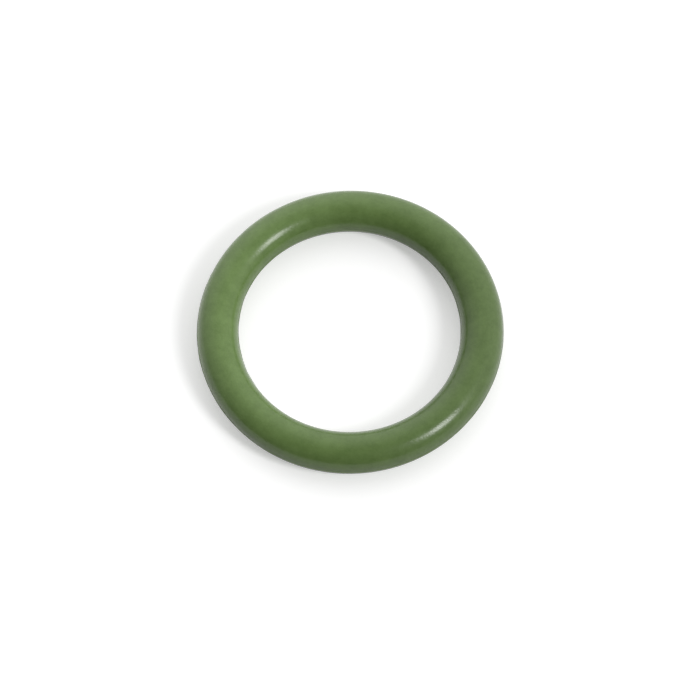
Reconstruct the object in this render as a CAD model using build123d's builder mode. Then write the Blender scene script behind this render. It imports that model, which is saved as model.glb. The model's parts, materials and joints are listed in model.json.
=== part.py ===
from build123d import *
import os

# O-ring: one moulded rubber ring of round section, lying flat with its axis along +Z.
# The origin is the ring's centre, in the parting plane of its mould. Sizes are in millimetres.

# Driving dimensions
inside_diameter = 8.0  # across the hole, between the tube's innermost points
section_diameter = 1.5  # of the round tube

# Flash: the low ridge that the two mould halves leave along the parting plane,
# once round the hole and once round the rim
flash_height = 0.02  # how far it stands out of the tube
flash_width = 0.08  # along the ring's axis

# From the ring's axis to the middle of the tube
mean_radius = (inside_diameter + section_diameter) / 2

# The section is the tube's circle, with one bar across it that stands out as flash on both sides
with BuildPart() as o_ring:
    with BuildSketch(Plane.XZ) as section:
        with Locations((mean_radius, 0)):
            Circle(section_diameter / 2)
            Rectangle(section_diameter + 2 * flash_height, flash_width)
    revolve(axis=Axis.Z)
o_ring.part.label = "o_ring"

os.makedirs("parts", exist_ok=True)
export_step(o_ring.part, "parts/o_ring.step")
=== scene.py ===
import json
import math

import bmesh
import bpy
from mathutils import Matrix, Vector


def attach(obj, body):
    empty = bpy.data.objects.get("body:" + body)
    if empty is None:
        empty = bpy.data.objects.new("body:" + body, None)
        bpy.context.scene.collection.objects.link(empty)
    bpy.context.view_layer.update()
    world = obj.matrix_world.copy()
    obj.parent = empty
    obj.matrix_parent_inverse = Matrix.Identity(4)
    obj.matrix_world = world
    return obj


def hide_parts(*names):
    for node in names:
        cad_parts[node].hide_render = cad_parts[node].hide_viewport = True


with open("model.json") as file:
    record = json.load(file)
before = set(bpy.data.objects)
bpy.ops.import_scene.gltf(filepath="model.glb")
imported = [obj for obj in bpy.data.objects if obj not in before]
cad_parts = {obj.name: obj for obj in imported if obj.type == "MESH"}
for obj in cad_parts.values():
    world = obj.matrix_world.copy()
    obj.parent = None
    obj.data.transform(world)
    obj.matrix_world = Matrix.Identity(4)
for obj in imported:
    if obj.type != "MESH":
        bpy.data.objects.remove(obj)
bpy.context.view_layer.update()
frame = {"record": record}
scene = bpy.context.scene
scene.view_settings.view_transform = "Standard"

# Sizes of the ring, in metres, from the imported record
mounts = {mount["name"]: mount["dims"] for mount in frame["record"]["mounts"]}
rim_radius = mounts["outside_diameter"]["r_mm"] / 1000
hole_radius = mounts["inside_diameter"]["r_mm"] / 1000
flash_width = mounts["outside_diameter"]["length_mm"] / 1000
flash_height = 0.00002
tube_radius = (rim_radius - hole_radius) / 2 - flash_height
mean_radius = (rim_radius + hole_radius) / 2

# How finely the ring is turned
section_points = 96
flash_cuts = 3
turning_steps = 720
merge_distance = 0.000002

# How the height of the trimmed flash wanders along the ring
wander_length = 0.00065
wander_height = 0.00002
wander_middle = 0.75

# How much thicker the tube is than its nominal radius: all round, toward +X, and toward the far right
tube_swell = -0.000002
right_swell = 0.0000146
far_right_swell = 0.000009
most_swell = 0.00003


# The ring

def pick_points(piece, wanted):
    """In edit mode, selects the piece's points whose place is wanted, and no others."""
    mesh = bmesh.from_edit_mesh(piece.data)
    for point in mesh.verts:
        point.select_set(wanted(point.co))
    mesh.select_flush_mode()
    bmesh.update_edit_mesh(piece.data)


def draw_section():
    """The tube's round section, an upright circle beside the ring's axis."""
    bpy.ops.object.select_all(action="DESELECT")
    bpy.ops.mesh.primitive_circle_add(
        vertices=section_points,
        radius=tube_radius,
        location=(mean_radius, 0, 0),
        rotation=(math.radians(90), 0, 0),
    )
    ring = bpy.context.object
    ring.name = "moulded_ring"
    ring.data.name = "moulded_ring"
    bpy.ops.object.transform_apply(location=True, rotation=True, scale=True)
    return ring


def raise_flash(ring):
    """The low ridge on the parting line, at the rim and at the hole, with sloping flanks."""
    point_gap = 2 * math.pi * tube_radius / section_points
    flank_reach = 1.5 * point_gap
    crest_reach = 0.4 * flash_width
    bpy.ops.object.mode_set(mode="EDIT")
    bpy.ops.mesh.select_mode(type="VERT")
    pick_points(ring, lambda place: abs(place.z) < flank_reach)
    bpy.ops.mesh.subdivide(number_cuts=flash_cuts)
    pick_points(ring, lambda place: abs(place.z) < crest_reach and place.x > mean_radius)
    bpy.ops.transform.translate(value=(flash_height, 0, 0))
    pick_points(ring, lambda place: abs(place.z) < crest_reach and place.x < mean_radius)
    bpy.ops.transform.translate(value=(-flash_height, 0, 0))
    bpy.ops.object.mode_set(mode="OBJECT")


def turn_ring(ring):
    """Turns the section once round the ring's axis and closes it."""
    turning = ring.modifiers.new("turning", "SCREW")
    turning.axis = "Z"
    turning.angle = math.radians(360)
    turning.steps = turning_steps
    turning.render_steps = turning_steps
    turning.use_merge_vertices = True
    turning.merge_threshold = merge_distance
    bpy.ops.object.modifier_apply(modifier="turning")
    bpy.ops.object.mode_set(mode="EDIT")
    bpy.ops.mesh.select_all(action="SELECT")
    bpy.ops.mesh.remove_doubles(threshold=merge_distance)
    bpy.ops.mesh.normals_make_consistent(inside=False)
    bpy.ops.object.mode_set(mode="OBJECT")


def trim_flash(ring):
    """Trimmed flash isn't even: its height wanders along the ring."""
    crest = ring.vertex_groups.new(name="flash_crest")
    crest_start = tube_radius + 0.5 * flash_height
    crest_points = []
    for point in ring.data.vertices:
        from_axis = math.hypot(point.co.x, point.co.y)
        from_tube_middle = math.hypot(from_axis - mean_radius, point.co.z)
        if from_tube_middle > crest_start:
            crest_points.append(point.index)
    crest.add(crest_points, 1.0, "REPLACE")
    wander = bpy.data.textures.new("flash_wander", "CLOUDS")
    wander.noise_scale = wander_length
    trimming = ring.modifiers.new("trimming", "DISPLACE")
    trimming.texture = wander
    trimming.texture_coords = "LOCAL"
    trimming.vertex_group = "flash_crest"
    trimming.strength = wander_height
    trimming.mid_level = wander_middle
    bpy.ops.object.modifier_apply(modifier="trimming")


def make_tube_uneven(ring):
    """A moulded ring isn't quite even: sideways, this one's tube is a little thicker on the right and
    far right, and slimmer on the left."""
    thick_side = ring.vertex_groups.new(name="thick_side")
    slim_side = ring.vertex_groups.new(name="slim_side")
    for point in ring.data.vertices:
        turn = math.atan2(point.co.y, point.co.x)
        sideways = abs(math.hypot(point.co.x, point.co.y) - mean_radius) / tube_radius
        swell = tube_swell + right_swell * math.cos(turn) + far_right_swell * math.sin(2 * turn)
        share = min(1, sideways) * swell / most_swell
        thick_side.add([point.index], max(0, share), "REPLACE")
        slim_side.add([point.index], max(0, -share), "REPLACE")
    for side, strength in (("thick_side", most_swell), ("slim_side", -most_swell)):
        swelling = ring.modifiers.new(side, "DISPLACE")
        swelling.vertex_group = side
        swelling.strength = strength
        swelling.mid_level = 0
        bpy.ops.object.modifier_apply(modifier=side)


def trim_to_rim(ring):
    """No flash stands out beyond the rim's diameter."""
    for point in ring.data.vertices:
        too_far = math.hypot(point.co.x, point.co.y) / rim_radius
        if too_far > 1:
            point.co.x /= too_far
            point.co.y /= too_far


def model_ring():
    ring = draw_section()
    raise_flash(ring)
    turn_ring(ring)
    trim_flash(ring)
    make_tube_uneven(ring)
    trim_to_rim(ring)
    bpy.ops.object.shade_smooth()
    return ring


ring = model_ring()
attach(ring, "root")
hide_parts("o_ring")


# The rubber

deep_green = (0.1035, 0.1712, 0.0463, 1)
pale_green = (0.1325, 0.2120, 0.0630, 1)
mould_line_green = (0.130, 0.198, 0.066, 1)
flash_green = (0.170, 0.240, 0.100, 1)

# How the green drifts per millimetre along X, Y and Z: deeper on the right, paler on the left
green_drift = (-0.0318, 0.0095, 0)

# How the lines that the mould's turning left are drawn out: close across the tube, long round the ring
lines_across = 12
lines_round = 1.6


def add_node(owner, kind, name, column, row):
    node = owner.node_tree.nodes.new(kind)
    node.name = name
    node.label = name
    node.location = (220 * column, -240 * row)
    return node


def find_place_on_tube(material):
    """Where a point lies: in millimetres, off the parting line, and across the tube and round the ring."""
    link = material.node_tree.links.new
    place = add_node(material, "ShaderNodeTexCoord", "place", -12, 0)
    millimetres = add_node(material, "ShaderNodeVectorMath", "millimetres", -11, 0)
    millimetres.operation = "SCALE"
    millimetres.inputs["Scale"].default_value = 1000
    link(place.outputs["Object"], millimetres.inputs[0])

    parts = add_node(material, "ShaderNodeSeparateXYZ", "parts", -10, 1)
    link(millimetres.outputs["Vector"], parts.inputs["Vector"])
    level_place = add_node(material, "ShaderNodeCombineXYZ", "level_place", -9, 1)
    link(parts.outputs["X"], level_place.inputs["X"])
    link(parts.outputs["Y"], level_place.inputs["Y"])
    from_axis = add_node(material, "ShaderNodeVectorMath", "from_axis", -8, 1)
    from_axis.operation = "LENGTH"
    link(level_place.outputs["Vector"], from_axis.inputs[0])
    heading = add_node(material, "ShaderNodeVectorMath", "heading", -8, 2)
    heading.operation = "NORMALIZE"
    link(level_place.outputs["Vector"], heading.inputs[0])
    heading_parts = add_node(material, "ShaderNodeSeparateXYZ", "heading_parts", -7, 2)
    link(heading.outputs["Vector"], heading_parts.inputs["Vector"])

    out_of_middle = add_node(material, "ShaderNodeMath", "out_of_middle", -7, 1)
    out_of_middle.operation = "SUBTRACT"
    out_of_middle.inputs[1].default_value = mean_radius * 1000
    link(from_axis.outputs["Value"], out_of_middle.inputs[0])
    off_parting_line = add_node(material, "ShaderNodeMath", "off_parting_line", -6, 1)
    off_parting_line.operation = "ABSOLUTE"
    link(parts.outputs["Z"], off_parting_line.inputs[0])

    along = add_node(material, "ShaderNodeCombineXYZ", "along", -6, 2)
    link(out_of_middle.outputs["Value"], along.inputs["X"])
    link(parts.outputs["Z"], along.inputs["Y"])
    link(heading_parts.outputs["X"], along.inputs["Z"])
    return (
        millimetres.outputs["Vector"],
        off_parting_line.outputs["Value"],
        along.outputs["Vector"],
        heading_parts.outputs["Y"],
    )


def satin_green_rubber():
    """Moulded rubber: a cloudy green, faint lines from the mould's turning, fine grain and paler flash."""
    material = bpy.data.materials.new("satin_green_rubber")
    material.use_nodes = True
    link = material.node_tree.links.new
    millimetres, off_parting_line, along, turned = find_place_on_tube(material)

    clouds = add_node(material, "ShaderNodeTexNoise", "clouds", -4, 0)
    clouds.inputs["Scale"].default_value = 1.8
    clouds.inputs["Detail"].default_value = 4
    clouds.inputs["Roughness"].default_value = 0.85
    link(millimetres, clouds.inputs["Vector"])

    stretch = add_node(material, "ShaderNodeVectorMath", "stretch", -5, 2)
    stretch.operation = "MULTIPLY"
    stretch.inputs[1].default_value = (lines_across, lines_across, lines_round)
    link(along, stretch.inputs[0])
    stretch_turned = add_node(material, "ShaderNodeMath", "stretch_turned", -5, 3)
    stretch_turned.operation = "MULTIPLY"
    stretch_turned.inputs[1].default_value = lines_round
    link(turned, stretch_turned.inputs[0])
    mould_lines = add_node(material, "ShaderNodeTexNoise", "mould_lines", -4, 2)
    mould_lines.noise_dimensions = "4D"
    mould_lines.inputs["Scale"].default_value = 1
    mould_lines.inputs["Detail"].default_value = 3
    link(stretch.outputs["Vector"], mould_lines.inputs["Vector"])
    link(stretch_turned.outputs["Value"], mould_lines.inputs["W"])

    grain = add_node(material, "ShaderNodeTexNoise", "grain", -4, 3)
    grain.inputs["Scale"].default_value = 13
    grain.inputs["Detail"].default_value = 3
    link(millimetres, grain.inputs["Vector"])

    flash_mask = add_node(material, "ShaderNodeMapRange", "flash_mask", -4, 1)
    flash_mask.inputs["From Min"].default_value = 0.6 * flash_width * 1000
    flash_mask.inputs["From Max"].default_value = 0.35 * flash_width * 1000
    link(off_parting_line, flash_mask.inputs["Value"])

    green = add_node(material, "ShaderNodeValToRGB", "green", -2, 0)
    green.color_ramp.elements[0].position = 0.35
    green.color_ramp.elements[0].color = deep_green
    green.color_ramp.elements[1].position = 0.65
    green.color_ramp.elements[1].color = pale_green
    link(clouds.outputs["Fac"], green.inputs["Fac"])

    drift = add_node(material, "ShaderNodeVectorMath", "drift", -3, 4)
    drift.operation = "DOT_PRODUCT"
    drift.inputs[1].default_value = green_drift
    link(millimetres, drift.inputs[0])
    depth_of_green = add_node(material, "ShaderNodeMath", "depth_of_green", -2, 4)
    depth_of_green.operation = "ADD"
    depth_of_green.inputs[1].default_value = 1
    link(drift.outputs["Value"], depth_of_green.inputs[0])
    drifting_green = add_node(material, "ShaderNodeVectorMath", "drifting_green", -1, 4)
    drifting_green.operation = "SCALE"
    link(green.outputs["Color"], drifting_green.inputs[0])
    link(depth_of_green.outputs["Value"], drifting_green.inputs["Scale"])

    line_mask = add_node(material, "ShaderNodeMapRange", "line_mask", -2, 2)
    line_mask.inputs["From Min"].default_value = 0.5
    line_mask.inputs["From Max"].default_value = 0.75
    line_mask.inputs["To Max"].default_value = 0.12
    link(mould_lines.outputs["Fac"], line_mask.inputs["Value"])
    lined_green = add_node(material, "ShaderNodeMix", "lined_green", -1, 0)
    lined_green.data_type = "RGBA"
    lined_green.inputs["B"].default_value = mould_line_green
    link(line_mask.outputs["Result"], lined_green.inputs["Factor"])
    link(drifting_green.outputs["Vector"], lined_green.inputs["A"])
    flash_tone = add_node(material, "ShaderNodeMath", "flash_tone", -1, 1)
    flash_tone.operation = "MULTIPLY"
    flash_tone.inputs[1].default_value = 0.35
    link(flash_mask.outputs["Result"], flash_tone.inputs[0])
    whole_green = add_node(material, "ShaderNodeMix", "whole_green", 0, 0)
    whole_green.data_type = "RGBA"
    whole_green.inputs["B"].default_value = flash_green
    link(flash_tone.outputs["Value"], whole_green.inputs["Factor"])
    link(lined_green.outputs["Result"], whole_green.inputs["A"])

    satin = add_node(material, "ShaderNodeMapRange", "satin", -1, 2)
    satin.inputs["From Min"].default_value = 0.3
    satin.inputs["From Max"].default_value = 0.7
    satin.inputs["To Min"].default_value = 0.20
    satin.inputs["To Max"].default_value = 0.27
    link(clouds.outputs["Fac"], satin.inputs["Value"])

    relief = add_node(material, "ShaderNodeMix", "relief", -2, 3)
    relief.inputs["Factor"].default_value = 0.4
    link(grain.outputs["Fac"], relief.inputs["A"])
    link(mould_lines.outputs["Fac"], relief.inputs["B"])
    bump = add_node(material, "ShaderNodeBump", "bump", -1, 3)
    bump.inputs["Strength"].default_value = 0.6
    bump.inputs["Distance"].default_value = 0.00001
    link(relief.outputs["Result"], bump.inputs["Height"])

    rubber = material.node_tree.nodes["Principled BSDF"]
    rubber.location = (300, 0)
    rubber.inputs["Specular IOR Level"].default_value = 0.4
    link(whole_green.outputs["Result"], rubber.inputs["Base Color"])
    link(satin.outputs["Result"], rubber.inputs["Roughness"])
    link(bump.outputs["Normal"], rubber.inputs["Normal"])
    material.node_tree.nodes["Material Output"].location = (600, 0)
    return material


ring.data.materials.append(satin_green_rubber())


# The table

table_size = 3
table_white = 0.85
table_glow = 0.384
table_thrown_back = 0.22


def seen_ray(material):
    """1 for rays that show the background itself: straight, mirrored or through glass."""
    link = material.node_tree.links.new
    path = add_node(material, "ShaderNodeLightPath", "path", -3, 0)
    straight_or_mirrored = add_node(material, "ShaderNodeMath", "straight_or_mirrored", -2, 0)
    straight_or_mirrored.operation = "MAXIMUM"
    link(path.outputs["Is Camera Ray"], straight_or_mirrored.inputs[0])
    link(path.outputs["Is Glossy Ray"], straight_or_mirrored.inputs[1])
    any_seen = add_node(material, "ShaderNodeMath", "any_seen", -1, 0)
    any_seen.operation = "MAXIMUM"
    link(straight_or_mirrored.outputs["Value"], any_seen.inputs[0])
    link(path.outputs["Is Transmission Ray"], any_seen.inputs[1])
    return any_seen.outputs["Value"]


def white_table_top():
    """A pale table that is seen as white, glows a little there and keeps the ring's shadow."""
    material = bpy.data.materials.new("white_table_top")
    material.use_nodes = True
    link = material.node_tree.links.new
    material.node_tree.nodes.clear()
    seen = seen_ray(material)
    glow = add_node(material, "ShaderNodeEmission", "glow", 0, 1)
    glow.inputs["Strength"].default_value = table_glow
    white = add_node(material, "ShaderNodeBsdfDiffuse", "white", 0, 2)
    white.inputs["Color"].default_value = (table_white, table_white, table_white, 1)
    seen_table = add_node(material, "ShaderNodeAddShader", "seen_table", 1, 1)
    link(glow.outputs["Emission"], seen_table.inputs[0])
    link(white.outputs["BSDF"], seen_table.inputs[1])
    pale = add_node(material, "ShaderNodeBsdfDiffuse", "pale", 1, 0)
    pale.inputs["Color"].default_value = (table_thrown_back, table_thrown_back, table_thrown_back, 1)
    table_top = add_node(material, "ShaderNodeMixShader", "table_top", 2, 0)
    link(seen, table_top.inputs["Fac"])
    link(pale.outputs["BSDF"], table_top.inputs[1])
    link(seen_table.outputs["Shader"], table_top.inputs[2])
    output = add_node(material, "ShaderNodeOutputMaterial", "output", 3, 0)
    link(table_top.outputs["Shader"], output.inputs["Surface"])
    return material


def lay_table():
    bpy.ops.object.select_all(action="DESELECT")
    bpy.ops.mesh.primitive_plane_add(size=table_size, location=(0, 0, -tube_radius))
    table = bpy.context.object
    table.name = "white_table"
    bpy.ops.object.transform_apply(location=True, rotation=True, scale=True)
    table.data.materials.append(white_table_top())


lay_table()


# The light

key_level = 0.444
key_azimuth = 328
key_elevation = 43
key_distance = 1.5
key_width = 0.34
key_height = 0.56

# The level of the room itself, and each window's azimuth and level
room_level = 0.095
window_elevation = 20
windows = [(0, 0.731), (60, 0.533), (120, 1.181)]


def point_toward(azimuth, elevation):
    """The direction in which something stands, seen from the ring."""
    turn = math.radians(azimuth)
    rise = math.radians(elevation)
    return Vector((math.cos(turn) * math.cos(rise), math.sin(turn) * math.cos(rise), math.sin(rise)))


def hang_key_lamp():
    """A small soft panel at the front right, which gives the two bright streaks."""
    toward = point_toward(key_azimuth, key_elevation)
    light = bpy.data.lights.new("key_lamp", "AREA")
    light.shape = "RECTANGLE"
    light.size = key_width
    light.size_y = key_height
    light.energy = key_level * math.pi ** 2 * key_distance ** 2
    lamp = bpy.data.objects.new("key_lamp", light)
    lamp.location = toward * key_distance
    lamp.rotation_euler = (-toward).to_track_quat("-Z", "Y").to_euler()
    lamp.visible_camera = False
    scene.collection.objects.link(lamp)


def light_room():
    """A dim room with three broad soft windows, to the right and behind, which fade off to all sides."""
    room = bpy.data.worlds.new("studio_room")
    scene.world = room
    room.use_nodes = True
    link = room.node_tree.links.new
    direction = add_node(room, "ShaderNodeTexCoord", "direction", -6, 0)
    background = room.node_tree.nodes["Background"]
    background.inputs["Color"].default_value = (1, 1, 1, 1)
    so_far = None
    for row, (azimuth, level) in enumerate(windows):
        toward_window = add_node(room, "ShaderNodeVectorMath", "toward_window", -5, row)
        toward_window.operation = "DOT_PRODUCT"
        toward_window.inputs[1].default_value = point_toward(azimuth, window_elevation)
        link(direction.outputs["Generated"], toward_window.inputs[0])
        near_side = add_node(room, "ShaderNodeMath", "near_side", -4, row)
        near_side.operation = "MAXIMUM"
        near_side.inputs[1].default_value = 0
        link(toward_window.outputs["Value"], near_side.inputs[0])
        fading = add_node(room, "ShaderNodeMath", "fading", -3, row)
        fading.operation = "POWER"
        fading.inputs[1].default_value = 2
        link(near_side.outputs["Value"], fading.inputs[0])
        added = add_node(room, "ShaderNodeMath", "added", -2, row)
        added.operation = "MULTIPLY_ADD"
        added.inputs[1].default_value = level
        added.inputs[2].default_value = room_level
        link(fading.outputs["Value"], added.inputs[0])
        if so_far:
            link(so_far.outputs["Value"], added.inputs[2])
        so_far = added
    link(so_far.outputs["Value"], background.inputs["Strength"])


hang_key_lamp()
light_room()


# The camera

def set_camera():
    """The photo's camera, 66 degrees above the table, as found from the ring's two outlines."""
    image_side = 700
    focal_pixels = 5290.3
    distance = 40 * mean_radius
    elevation = math.radians(65.975)
    roll = math.radians(-1.577)
    ring_middle = (349.45, 330.40)
    image_middle = (image_side - 1) / 2
    lens = bpy.data.cameras.new("photo_camera")
    lens.sensor_width = 36
    lens.lens = focal_pixels / image_side * lens.sensor_width
    lens.shift_x = (image_middle - ring_middle[0]) / image_side
    lens.shift_y = (ring_middle[1] - image_middle) / image_side
    lens.clip_start = 0.01
    camera = bpy.data.objects.new("photo_camera", lens)
    scene.collection.objects.link(camera)
    back = Vector((0, -math.cos(elevation), math.sin(elevation)))
    level_aim = (-back).to_track_quat("-Z", "Y").to_matrix()
    aim = level_aim @ Matrix.Rotation(roll, 3, "Z")
    camera.matrix_world = Matrix.Translation(back * distance) @ aim.to_4x4()
    scene.camera = camera


set_camera()
